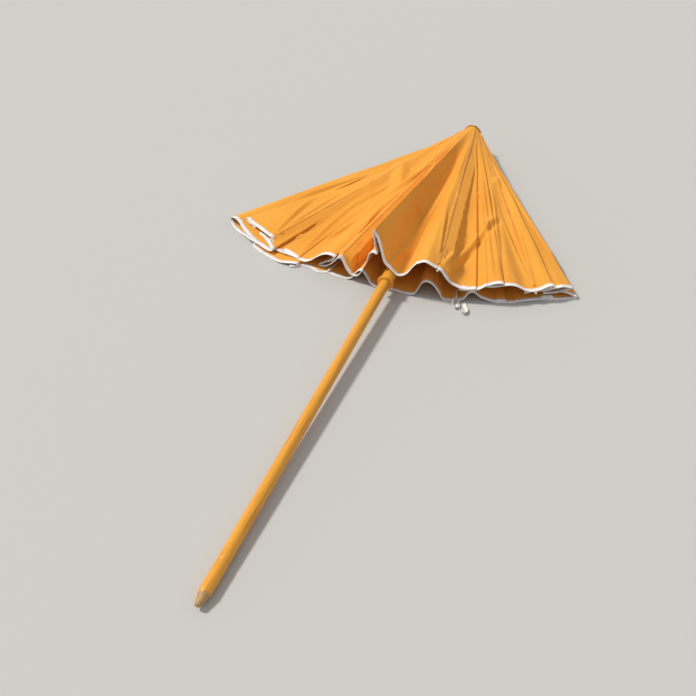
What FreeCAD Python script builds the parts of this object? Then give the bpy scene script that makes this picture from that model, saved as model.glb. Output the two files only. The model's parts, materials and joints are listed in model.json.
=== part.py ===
import FreeCAD, Part
import math
import os

import Sketcher
from FreeCAD import Placement, Rotation, Vector

# A wooden beach umbrella with eight steel ribs, lying half folded on flat ground.
#
# Umbrella frame: the origin is the centre of the crown's wire ring, +Y runs along the pole to
# the cap and -Y to the ground spike, +Z is up and +X is to the right when seen from the spike.
# Every sub-part is built there or in a frame of its own (+Y along the piece), then laid down
# by LYING and centred. Lengths are millimetres and angles are degrees.

SIZES = {
    # pole, spike and the tenon that joins them; distances along the pole start at the crown ring
    "pole_radius": 14.0,
    "pole_top": 5.0,
    "crown_to_tip": 1923.0,
    "spike_length": 150.0,
    "spike_cone": 34.0,
    "spike_chamfer": 2.5,
    "spike_end_radius": 7.0,
    "groove_from_tip": 110.0,
    "groove_width": 4.0,
    "groove_depth": 1.3,
    "tenon_radius": 7.0,
    "tenon_length": 40.0,
    "peg_hole_at": 438.5,
    "peg_hole_radius": 3.0,
    # turned crown: eight slots hold the rib eyes on a wire ring
    "crown_ring_radius": 19.5,
    "wire_radius": 1.2,
    "hub_radius": 25.0,
    "hub_skirt": 8.0,
    "hub_shoulder": 8.0,
    "hub_top_radius": 21.0,
    "hub_top": 12.0,
    "slot_roof": 5.6,
    "hub_slot_width": 9.8,
    "hub_slot_floor": 14.2,
    # cloth rosette, domed cap and the screw through them
    "rosette_radius": 24.0,
    "rosette_thickness": 1.5,
    "cap_radius": 17.0,
    "cap_height": 11.0,
    "cap_dome_radius": 19.0,
    "cap_flat_depth": 0.6,
    "screw_radius": 2.0,
    "screw_head_radius": 4.5,
    "screw_head_height": 2.5,
    "screw_length": 38.0,
    # runner: a turned sleeve whose head holds the stretcher eyes on a second wire ring
    "runner_at": 700.0,
    "runner_travel": 409.0,
    "runner_bore_radius": 14.5,
    "runner_ring_radius": 21.0,
    "runner_head_radius": 27.0,
    "runner_head_half": 7.0,
    "runner_waist_radius": 18.0,
    "runner_rim_radius": 21.5,
    "runner_rim_width": 9.0,
    "runner_rim_chamfer": 2.0,
    "runner_tail": 143.0,
    "runner_slot_width": 9.6,
    "runner_slot_floor": 16.0,
    # ribs: round steel rod with an eye, a stop bead and a rounded ferrule
    "rib_length": 812.0,
    "rib_radius": 2.5,
    "eye_radius": 4.6,
    "eye_hole_radius": 2.7,
    "eye_thickness": 3.0,
    "stop_at": 439.0,
    "stop_radius": 4.2,
    "stop_width": 4.0,
    "ferrule_radius": 3.9,
    "ferrule_length": 20.0,
    "ferrule_wall_end": 3.0,
    # slider on each rib, with an ear down one side, and the stretcher beside that ear
    "slider_open": 430.0,
    "slider_radius": 4.4,
    "slider_bore_radius": 2.9,
    "slider_length": 14.0,
    "ear_reach": 5.4,
    "ear_rise": 2.0,
    "ear_drop": 6.0,
    "ear_thickness": 1.5,
    "ear_width": 9.0,
    "rivet_hole_radius": 1.5,
    "stretcher_radius": 2.0,
    "paddle_radius": 4.4,
    "paddle_thickness": 1.6,
    "paddle_offset": 8.8,
    # canopy: each half gore is a thin plate from its rib to the fold between two ribs
    "cloth_thickness": 2.0,
    "fold_length": 755.0,
    "panel_reach": 800.0,
    "hem_lift": 1.3,
    "crown_lift": 14.0,
    "rib_gap": 6.4,
    "fold_gap": 2.0,
    "panel_inner_width": 10.0,
    "panel_inner": 90.0,
    # notch in a plate's rib edge, where cloth would drape over the slider and the paddle
    "notch_deep": 40.0,
    "notch_shallow": 13.0,
    "notch_before": 12.0,
    "notch_after": 36.0,
    # attitude: slope of the lying pole, and angle between pole and ribs when open
    "lying_slope": 1.58,
    "open_angle": 76.0,
}

# Where each rib points as it lies: swing from the pole's line to the right, and height of its
# far end above the ground.
RIB_LIES = [
    (-38.7, 4.1),
    (-26.7, 18.0),
    (-9.8, 61.0),
    (8.6, 88.0),
    (26.4, 28.0),
    (34.0, 4.1),
    (12.4, 4.1),
    (-12.4, 4.1),
]
# The same for the fold in the middle of the gore between each rib and the next one.
FOLD_LIES = [
    (-33.0, 20.0),
    (-18.8, 50.0),
    (-3.5, 165.0),
    (17.7, 65.0),
    (30.2, 22.0),
    (22.9, 3.0),
    (0.0, 3.0),
    (-26.0, 3.0),
]
RIB_COUNT = len(RIB_LIES)
# A stretcher's paddle passes on the left (-1) or right (+1) of its rib, where it has room.
PADDLE_SIDE = [1, -1, -1, 1, 1, -1, -1, 1]
# Half gores on the paddle's side of their rib, and how deep their notch is.
NOTCHES = {"8b": "notch_deep", "2a": "notch_deep", "4b": "notch_deep", "6a": "notch_deep"}
NOTCHES |= {"3a": "notch_shallow", "3b": "notch_shallow", "7a": "notch_shallow", "7b": "notch_shallow"}

for number, (swing, height) in enumerate(RIB_LIES, 1):
    SIZES[f"rib_{number}_swing"] = swing
    SIZES[f"rib_{number}_tip_height"] = height
for number, (swing, height) in enumerate(FOLD_LIES, 1):
    SIZES[f"fold_{number}_swing"] = swing
    SIZES[f"fold_{number}_tip_height"] = height


def size(name):
    return SIZES[name]


# ---------------------------------------------------------------- attitude and directions

SLOPE = math.radians(size("lying_slope"))
SHOULDER = size("crown_to_tip") - size("spike_cone")
# the spike's shoulder touches the ground, and the pole rises from there to the crown
CROWN_HEIGHT = size("pole_radius") * math.cos(SLOPE) + SHOULDER * math.sin(SLOPE)
LYING = Placement(Vector(0, 0, CROWN_HEIGHT), Rotation(Vector(1, 0, 0), size("lying_slope")))


def azimuth(number):
    """Angle of rib number's slot round the pole, from +X towards +Z."""
    return 202.5 - 45.0 * (number - 1)


def around(angle):
    """Unit vector square to the pole at an azimuth."""
    return Vector(math.cos(math.radians(angle)), 0, math.sin(math.radians(angle)))


def tangent(angle):
    return Vector(-math.sin(math.radians(angle)), 0, math.cos(math.radians(angle)))


def next_rib(number):
    return number % RIB_COUNT + 1


def pivot(number):
    return around(azimuth(number)) * size("crown_ring_radius")


def gore_start(number):
    """Midpoint of the pivots of a rib and the next, where their gore's fold starts."""
    return (pivot(number) + pivot(next_rib(number))) * 0.5


def lying_direction(start, length, swing, tip_height):
    """Unit vector, in the umbrella frame, of a line that ends tip_height above the ground."""
    rise = (tip_height - LYING.multVec(start).z) / length
    flat = math.sqrt(1 - rise**2)
    turn = math.radians(swing)
    on_ground = Vector(math.sin(turn) * flat, -math.cos(turn) * flat, rise)
    return LYING.Rotation.inverted().multVec(on_ground)


def rib_lying(number):
    swing, height = size(f"rib_{number}_swing"), size(f"rib_{number}_tip_height")
    return lying_direction(pivot(number), size("rib_length"), swing, height)


def fold_lying(number):
    swing, height = size(f"fold_{number}_swing"), size(f"fold_{number}_tip_height")
    return lying_direction(gore_start(number), size("fold_length"), swing, height)


def rib_open(number):
    lean = math.radians(size("open_angle"))
    return around(azimuth(number)) * math.sin(lean) + Vector(0, -math.cos(lean), 0)


def fold_open(number):
    return (rib_open(number) + rib_open(next_rib(number))).normalize()


def rib_turn(number):
    """Rotation that takes a rib from lying to open."""
    return Rotation(rib_lying(number), rib_open(number))


def frame(x_axis, y_axis):
    """Rotation whose first two axes are these two square unit vectors."""
    return Rotation(x_axis, y_axis, x_axis.cross(y_axis), "YXZ")


def rib_frame(number):
    """Rib frame as it lies: +Y along the rib and +X along the wire that its eye hangs on."""
    opened = frame(tangent(azimuth(number)), rib_open(number))
    return rib_turn(number).inverted().multiply(opened)


def stretcher_root(number, advance=0.0):
    ring = around(azimuth(number)) * size("runner_ring_radius")
    return ring - Vector(0, size("runner_at") - advance, 0)


def paddle_centre(number, turn, distance):
    """Centre of the stretcher's paddle, beside the ear of a slider at a distance up the rib."""
    body = turn.multiply(rib_frame(number))
    side = PADDLE_SIDE[number - 1] * size("paddle_offset")
    return pivot(number) + body.multVec(Vector(side, distance, -size("ear_drop")))


def stretcher_open(number):
    """The open stretcher as a vector from its eye to its paddle."""
    paddle = paddle_centre(number, rib_turn(number), size("slider_open"))
    return paddle - stretcher_root(number, size("runner_travel"))


def slider_at(number):
    """Distance up the lying rib at which the slider meets the stretcher's paddle."""
    back = paddle_centre(number, Rotation(), 0.0) - stretcher_root(number)
    along = back.dot(rib_lying(number))
    return -along - math.sqrt(along**2 - back.dot(back) + stretcher_open(number).Length ** 2)


def stretcher_direction(number, opened):
    if opened:
        return stretcher_open(number).normalize()
    paddle = paddle_centre(number, Rotation(), slider_at(number))
    return (paddle - stretcher_root(number)).normalize()


def stretcher_turn(number):
    return Rotation(stretcher_direction(number, False), stretcher_direction(number, True))


def stretcher_frame(number):
    along = stretcher_direction(number, True)
    wire = tangent(azimuth(number))
    wire = (wire - along * wire.dot(along)).normalize()
    return stretcher_turn(number).inverted().multiply(frame(wire, along))


def panel_frame(number, rib):
    """Half gore frame: origin at the rib's pivot, +Y along the rib, +X towards the fold."""
    along = rib_lying(rib)
    fold_tip = gore_start(number) + fold_lying(number) * size("fold_length")
    reach = fold_tip - pivot(rib)
    across = (reach - along * reach.dot(along)).normalize()
    return frame(across, along)


def panel_angle(number, rib):
    """Angle between a rib and the line from its pivot to the fold's far end."""
    fold_tip = gore_start(number) + fold_lying(number) * size("fold_length")
    reach = (fold_tip - pivot(rib)).normalize()
    return math.degrees(math.acos(reach.dot(rib_lying(rib))))


HALVES = [(n, half) for n in range(1, RIB_COUNT + 1) for half in "ab"]


def half_rib(number, half):
    """Half a of a gore hangs on the gore's own rib, and half b on the next one."""
    return number if half == "a" else next_rib(number)


# ---------------------------------------------------------------- document

SIZES["stretcher_length"] = round(stretcher_open(1).Length, 4)
doc = FreeCAD.newDocument("beach_umbrella")
sheet = doc.addObject("Spreadsheet::Sheet", "sizes")
for number in range(1, RIB_COUNT + 1):
    SIZES[f"slider_{number}_lying"] = round(slider_at(number), 3)
for number, half in HALVES:
    # the fold edge runs from the rib's pivot line, fold_gap inside the fold itself
    name = f"canopy_{number}{half}"
    angle = math.radians(panel_angle(number, half_rib(number, half)))
    inner = max(size("panel_inner"), size("panel_inner_width") / math.sin(angle))
    SIZES[f"{name}_inner"] = round(inner, 1)
    for end, reach in (("hem", size("fold_length")), ("crown", inner)):
        SIZES[f"{name}_{end}_across"] = round(reach * math.sin(angle) - size("fold_gap") * math.cos(angle), 3)
        SIZES[f"{name}_{end}_along"] = round(reach * math.cos(angle) + size("fold_gap") * math.sin(angle), 3)
for row, (name, value) in enumerate(SIZES.items(), 1):
    sheet.set(f"A{row}", name)
    sheet.set(f"B{row}", str(value))
    sheet.setAlias(f"B{row}", name)
doc.recompute()

parts = []


def keep(piece, label, placement):
    """Notes a finished sub-part: its label names its file."""
    piece.Label = label
    piece.Placement = placement
    parts.append(piece)
    return piece


def bind(piece, **rules):
    """Ties properties to sheet cells; names in the rules are cells."""
    for name, rule in rules.items():
        words = rule.split()
        words = [f"sizes.{word}" if word in SIZES else word for word in words]
        piece.setExpression(name, " ".join(words))
    return piece


def total(rule):
    """Value of a sum such as "hub_top - 2": cells and plain numbers with + and - between."""
    value = 0.0
    sign = 1.0
    for word in rule.split():
        if word in ("+", "-"):
            sign = 1.0 if word == "+" else -1.0
        else:
            value += sign * (SIZES[word] if word in SIZES else float(word))
            sign = 1.0
    return value


ALONG_Y = Rotation(Vector(1, 0, 0), -90)
ALONG_X = Rotation(Vector(0, 1, 0), 90)


def cylinder(name, radius, height, base, turn):
    """Round bar from base along the turned +Z."""
    piece = doc.addObject("Part::Cylinder", name)
    bind(piece, Radius=radius, Height=height)
    piece.Placement = Placement(base, turn)
    return piece


def fused(name, pieces):
    piece = doc.addObject("Part::MultiFuse", name)
    piece.Shapes = pieces
    return piece


def cut(name, base, tool):
    piece = doc.addObject("Part::Cut", name)
    piece.Base = base
    piece.Tool = tool
    return piece


def outline(body, name, corners):
    """Closed sketch through corners given as (x rule, y rule), tied to the sheet."""
    sketch = body.newObject("Sketcher::SketchObject", name)
    plane = next(f for f in body.Origin.OriginFeatures if f.Role == "XY_Plane")
    sketch.AttachmentSupport = [(plane, "")]
    sketch.MapMode = "FlatFace"
    points = [Vector(total(x), total(y), 0) for x, y in corners]
    count = len(points)
    for i in range(count):
        sketch.addGeometry(Part.LineSegment(points[i], points[(i + 1) % count]))
    for i in range(count):
        sketch.addConstraint(Sketcher.Constraint("Coincident", i, 2, (i + 1) % count, 1))
        across, along = corners[i]
        for kind, rule, axis_line in (("DistanceX", across, -2), ("DistanceY", along, -1)):
            if total(rule) == 0:
                sketch.addConstraint(Sketcher.Constraint("PointOnObject", i, 1, axis_line))
                continue
            tie = Sketcher.Constraint(kind, -1, 1, i, 1, total(rule))
            index = sketch.addConstraint(tie)
            bind(sketch, **{f"Constraints[{index}]": rule})
    return sketch


def turned(name, corners):
    """Body turned about +Y from a profile of (radius rule, height rule)."""
    body = doc.addObject("PartDesign::Body", name)
    sketch = outline(body, name + "_profile", corners)
    spin = body.newObject("PartDesign::Revolution", name + "_turned")
    spin.Profile = sketch
    spin.ReferenceAxis = (sketch, ["V_Axis"])
    spin.Angle = 360
    body.Tip = spin
    return body


def slots(name, floor, width, low, high, outer):
    """Eight radial slots round the pole, between two heights, open to the outside."""
    boxes = []
    for number in range(1, RIB_COUNT + 1):
        box = doc.addObject("Part::Box", f"{name}_{number}")
        bind(box, Length=f"{outer} - {floor} + 2", Width=f"{high} - ( {low} )", Height=width)
        turn = Rotation(Vector(0, -1, 0), azimuth(number))
        corner = Vector(total(floor), total(low), -total(width) / 2)
        box.Placement = Placement(turn.multVec(corner), turn)
        boxes.append(box)
    return fused(name, boxes)


# ---------------------------------------------------------------- pole and spike

def make_pole():
    length = "crown_to_tip - spike_length + pole_top"
    low = -total("crown_to_tip - spike_length")
    rod = cylinder("pole_rod", "pole_radius", length, Vector(0, low, 0), ALONG_Y)
    socket = cylinder("pole_socket", "tenon_radius", "tenon_length + 1", Vector(0, low, 0), ALONG_Y)
    screw_low = Vector(0, total("hub_top + rosette_thickness + cap_height - screw_length"), 0)
    screw_hole = cylinder("pole_screw_hole", "screw_radius", "screw_length", screw_low, ALONG_Y)
    peg_low = Vector(-size("pole_radius") - 1, -size("peg_hole_at"), 0)
    peg_hole = cylinder("pole_peg_hole", "peg_hole_radius", "pole_radius * 2 + 2", peg_low, ALONG_X)
    keep(cut("pole_bored", rod, fused("pole_holes", [socket, screw_hole, peg_hole])), "pole", LYING)


def make_spike():
    """Turned spike: tenon, a straight length with a ring groove, and a blunt cone."""
    top = "spike_length - crown_to_tip"
    tip = "0 - crown_to_tip"
    groove = f"{tip} + groove_from_tip"
    corners = [
        ("0", f"{top} + tenon_length"),
        ("tenon_radius", f"{top} + tenon_length"),
        ("tenon_radius", top),
        ("pole_radius", top),
        ("pole_radius", f"{groove} + groove_width"),
        ("pole_radius - groove_depth", groove),
        ("pole_radius", f"{groove} - groove_width"),
        ("pole_radius", f"{tip} + spike_cone"),
        ("spike_end_radius", f"{tip} + spike_chamfer"),
        ("spike_end_radius - spike_chamfer", tip),
        ("0", tip),
    ]
    keep(turned("spike_body", corners), "ground_spike", LYING)


# ---------------------------------------------------------------- crown

def make_crown_hub():
    """Turned crown: a cup over the pole's top with a wire groove and eight rib slots."""
    groove_floor = "crown_ring_radius - wire_radius"
    corners = [
        ("pole_radius", "0 - hub_skirt"),
        ("hub_radius", "0 - hub_skirt"),
        ("hub_radius", "0 - wire_radius"),
        (groove_floor, "0 - wire_radius"),
        (groove_floor, "wire_radius"),
        ("hub_radius", "wire_radius"),
        ("hub_radius", "hub_shoulder"),
        ("hub_top_radius", "hub_top"),
        ("screw_radius", "hub_top"),
        ("screw_radius", "pole_top"),
        ("pole_radius", "pole_top"),
    ]
    blank = turned("hub_blank", corners)
    low = "0 - hub_skirt - 1"
    tools = slots("hub_slots", "hub_slot_floor", "hub_slot_width", low, "slot_roof", "hub_radius")
    keep(cut("hub_slotted", blank, tools), "crown_hub", LYING)


def make_ring(label, radius, placement):
    ring = doc.addObject("Part::Torus", label)
    bind(ring, Radius1=radius, Radius2="wire_radius")
    lay_flat = Placement(Vector(), ALONG_Y)
    keep(ring, label, placement.multiply(lay_flat))


def make_cap():
    """Cloth rosette on the hub, a domed cap over it, and the screw that holds both."""
    rosette_low = Vector(0, size("hub_top"), 0)
    disc = cylinder("rosette_disc", "rosette_radius", "rosette_thickness", rosette_low, ALONG_Y)
    disc_hole = cylinder("rosette_hole", "screw_radius", "rosette_thickness", rosette_low, ALONG_Y)
    keep(cut("rosette_cut", disc, disc_hole), "canopy_rosette", LYING)

    cap_low = Vector(0, total("hub_top + rosette_thickness"), 0)
    cap_top = cap_low.y + size("cap_height")
    drum = cylinder("cap_drum", "cap_radius", "cap_height", cap_low, ALONG_Y)
    ball = doc.addObject("Part::Sphere", "cap_ball")
    bind(ball, Radius="cap_dome_radius")
    ball_centre = cap_top + total("cap_flat_depth - cap_dome_radius")
    ball.Placement = Placement(Vector(0, ball_centre, 0), ALONG_Y)
    dome = doc.addObject("Part::MultiCommon", "cap_dome")
    dome.Shapes = [drum, ball]
    cap_hole = cylinder("cap_hole", "screw_radius", "cap_height + 1", cap_low, ALONG_Y)
    keep(cut("cap_cut", dome, cap_hole), "finial_cap", LYING)

    shank_low = Vector(0, cap_top - size("screw_length"), 0)
    shank = cylinder("screw_shank", "screw_radius", "screw_length", shank_low, ALONG_Y)
    head = cylinder("screw_head", "screw_head_radius", "screw_head_height", Vector(0, cap_top, 0), ALONG_Y)
    head_edge = doc.addObject("Part::Chamfer", "screw_head_edge")
    doc.recompute()
    head_edge.Base = head
    rim = size("screw_head_height") * 0.5
    tops = [i for i, e in enumerate(head.Shape.Edges, 1)
            if e.Closed and e.CenterOfMass.y > cap_top + rim]
    head_edge.Edges = [(tops[0], rim, rim)]
    return fused("screw_whole", [shank, head_edge])


# ---------------------------------------------------------------- runner

def make_runner():
    """Sleeve on the pole: slotted head, waist, and a rounded rim at its lower end."""
    tail = "0 - runner_tail"
    groove_floor = "runner_ring_radius - wire_radius"
    corners = [
        ("runner_bore_radius", tail),
        ("runner_rim_radius - runner_rim_chamfer", tail),
        ("runner_rim_radius", f"{tail} + runner_rim_chamfer"),
        ("runner_rim_radius", f"{tail} + runner_rim_width - runner_rim_chamfer"),
        ("runner_waist_radius", f"{tail} + runner_rim_width + runner_rim_chamfer"),
        ("runner_waist_radius", "0 - runner_head_half - 9"),
        ("runner_head_radius", "0 - runner_head_half"),
        ("runner_head_radius", "0 - wire_radius"),
        (groove_floor, "0 - wire_radius"),
        (groove_floor, "wire_radius"),
        ("runner_head_radius", "wire_radius"),
        ("runner_head_radius", "runner_head_half"),
        ("runner_bore_radius", "runner_head_half"),
    ]
    blank = turned("runner_blank", corners)
    high = "runner_head_half + 1"
    tools = slots(
        "runner_slots", "runner_slot_floor", "runner_slot_width", "0 - slot_roof", high, "runner_head_radius"
    )
    at_rest = LYING.multiply(Placement(Vector(0, -size("runner_at"), 0), Rotation()))
    keep(cut("runner_slotted", blank, tools), "runner_sleeve", at_rest)
    make_ring("runner_ring_wire", "runner_ring_radius", at_rest)


# ---------------------------------------------------------------- ribs and stretchers

def make_rib(number):
    name = f"rib_{number}"
    at_rest = LYING.multiply(Placement(pivot(number), rib_frame(number)))
    half_eye = Vector(-size("eye_thickness") / 2, 0, 0)
    eye = cylinder(f"{name}_eye", "eye_radius", "eye_thickness", half_eye, ALONG_X)
    start = Vector(0, total("eye_hole_radius + 0.4"), 0)
    rod_length = "rib_length - ferrule_wall_end - eye_hole_radius - 0.4"
    rod = cylinder(f"{name}_rod", "rib_radius", rod_length, start, ALONG_Y)
    bead_low = Vector(0, size("stop_at"), 0)
    bead = cylinder(f"{name}_stop", "stop_radius", "stop_width", bead_low, ALONG_Y)
    hole = cylinder(f"{name}_eye_hole", "eye_hole_radius", "eye_thickness", half_eye, ALONG_X)
    solid = fused(f"{name}_solid", [eye, rod, bead])
    keep(cut(f"{name}_pierced", solid, hole), name, at_rest)

    corners = [
        ("rib_radius", "rib_length - ferrule_length"),
        ("ferrule_radius - 0.6", "rib_length - ferrule_length"),
        ("ferrule_radius", "rib_length - ferrule_length + 2"),
        ("ferrule_radius", "rib_length - 4"),
        ("ferrule_radius - 1.2", "rib_length - 1"),
        ("0", "rib_length"),
        ("0", "rib_length - ferrule_wall_end"),
        ("rib_radius", "rib_length - ferrule_wall_end"),
    ]
    keep(turned(f"{name}_ferrule", corners), f"rib_tip_{number}", at_rest)


def make_slider(number):
    """Tube that slides on a rib, with a flat pierced ear down the stretcher's side."""
    name = f"rib_slider_{number}"
    outer = PADDLE_SIDE[number - 1] * size("ear_reach")
    ear_side = min(outer, outer - PADDLE_SIDE[number - 1] * size("ear_thickness"))
    low = Vector(0, -size("slider_length") / 2, 0)
    tube = cylinder(f"{name}_tube", "slider_radius", "slider_length", low, ALONG_Y)
    ear = doc.addObject("Part::Box", f"{name}_ear")
    half_ear = size("ear_width") / 2
    bind(ear, Length="ear_thickness", Width="ear_width", Height="ear_drop + ear_rise")
    ear.Placement.Base = Vector(ear_side, -half_ear, -size("ear_drop"))
    round_base = Vector(ear_side, 0, -size("ear_drop"))
    ear_end = cylinder(f"{name}_ear_end", "ear_width / 2", "ear_thickness", round_base, ALONG_X)
    bore = cylinder(f"{name}_bore", "slider_bore_radius", "slider_length", low, ALONG_Y)
    rivet = cylinder(f"{name}_rivet_hole", "rivet_hole_radius", "ear_thickness", round_base, ALONG_X)
    solid = fused(f"{name}_solid", [tube, ear, ear_end])
    place = Placement(Vector(0, size(f"slider_{number}_lying"), 0), Rotation())
    at_rest = LYING.multiply(Placement(pivot(number), rib_frame(number))).multiply(place)
    keep(cut(f"{name}_pierced", solid, fused(f"{name}_holes", [bore, rivet])), name, at_rest)


def make_stretcher(number):
    """Round bar from its eye on the runner's wire ring to a pierced paddle beside the ear."""
    name = f"stretcher_{number}"
    at_rest = LYING.multiply(Placement(stretcher_root(number), stretcher_frame(number)))
    half_eye = Vector(-size("eye_thickness") / 2, 0, 0)
    eye = cylinder(f"{name}_eye", "eye_radius", "eye_thickness", half_eye, ALONG_X)
    start = Vector(0, total("eye_hole_radius + 0.4"), 0)
    bar_length = "stretcher_length - eye_hole_radius - 0.4 - rivet_hole_radius - 1"
    bar = cylinder(f"{name}_bar", "stretcher_radius", bar_length, start, ALONG_Y)
    paddle_base = Vector(-size("paddle_thickness") / 2, size("stretcher_length"), 0)
    paddle = cylinder(f"{name}_paddle", "paddle_radius", "paddle_thickness", paddle_base, ALONG_X)
    eye_hole = cylinder(f"{name}_eye_hole", "eye_hole_radius", "eye_thickness", half_eye, ALONG_X)
    rivet = cylinder(f"{name}_rivet_hole", "rivet_hole_radius", "paddle_thickness", paddle_base, ALONG_X)
    solid = fused(f"{name}_solid", [eye, bar, paddle])
    keep(cut(f"{name}_pierced", solid, fused(f"{name}_holes", [eye_hole, rivet])), name, at_rest)


# ---------------------------------------------------------------- canopy

def make_half_gore(number, half):
    """Thin plate beside its rib, cut to the angle between the rib and the gore's fold."""
    name = f"canopy_{number}{half}"
    rib = half_rib(number, half)
    body = doc.addObject("PartDesign::Body", f"{name}_body")
    corners = [("rib_gap", f"{name}_inner")]
    depth = NOTCHES.get(f"{number}{half}")
    if depth:
        low = f"slider_{rib}_lying - notch_before"
        high = f"slider_{rib}_lying + notch_after"
        corners += [("rib_gap", low), (depth, low), (depth, high), ("rib_gap", high)]
    corners += [("rib_gap", "panel_reach")]
    corners += [(f"{name}_{end}_across", f"{name}_{end}_along") for end in ("hem", "crown")]
    sketch = outline(body, f"{name}_outline", corners)
    pad = body.newObject("PartDesign::Pad", f"{name}_pad")
    pad.Profile = sketch
    pad.Midplane = True
    bind(pad, Length="cloth_thickness")
    body.Tip = pad
    # the cloth lies outside its rib, by hem_lift at the hem and crown_lift where it passes over
    # the crown; outside is -Z of half a and +Z of half b
    outside = 1 if half == "b" else -1
    rise = size("crown_lift") - size("hem_lift")
    lean = Rotation(Vector(1, 0, 0), -outside * math.degrees(rise / size("panel_reach")))
    hem = Placement(Vector(0, size("panel_reach"), outside * size("hem_lift")), lean)
    from_hem = Placement(Vector(0, -size("panel_reach"), 0), Rotation())
    plane = Placement(pivot(rib), panel_frame(number, rib)).multiply(hem).multiply(from_hem)
    keep(body, name, LYING.multiply(plane))


make_pole()
make_spike()
make_crown_hub()
make_ring("crown_ring_wire", "crown_ring_radius", LYING)
keep(make_cap(), "finial_screw", LYING)
make_runner()
for number in range(1, RIB_COUNT + 1):
    make_rib(number)
    make_slider(number)
    make_stretcher(number)
for number, half in HALVES:
    make_half_gore(number, half)
doc.recompute()

# ---------------------------------------------------------------- centring, checks and files

box = FreeCAD.BoundBox()
for piece in parts:
    box.add(piece.Shape.BoundBox)
CENTRING = Vector(-box.Center.x, -box.Center.y, -box.ZMin)
for piece in parts:
    piece.Placement = Placement(CENTRING, Rotation()).multiply(piece.Placement)
doc.recompute()

for item in doc.Objects:
    if "Invalid" in item.State or "Error" in item.State:
        raise RuntimeError(f"{item.Label} failed: {item.State}")
os.makedirs("parts", exist_ok=True)
for piece in parts:
    if piece.Shape.isNull() or not piece.Shape.isValid() or len(piece.Shape.Solids) != 1:
        raise RuntimeError(f"{piece.Label} has no single valid solid")
    piece.Shape.exportStep(f"parts/{piece.Label}.step")
print(len(parts), "parts,", "box", box.XLength, box.YLength, box.ZLength)
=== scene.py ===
import json
import math

import bpy
import numpy as np
from mathutils import Matrix, Vector

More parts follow.
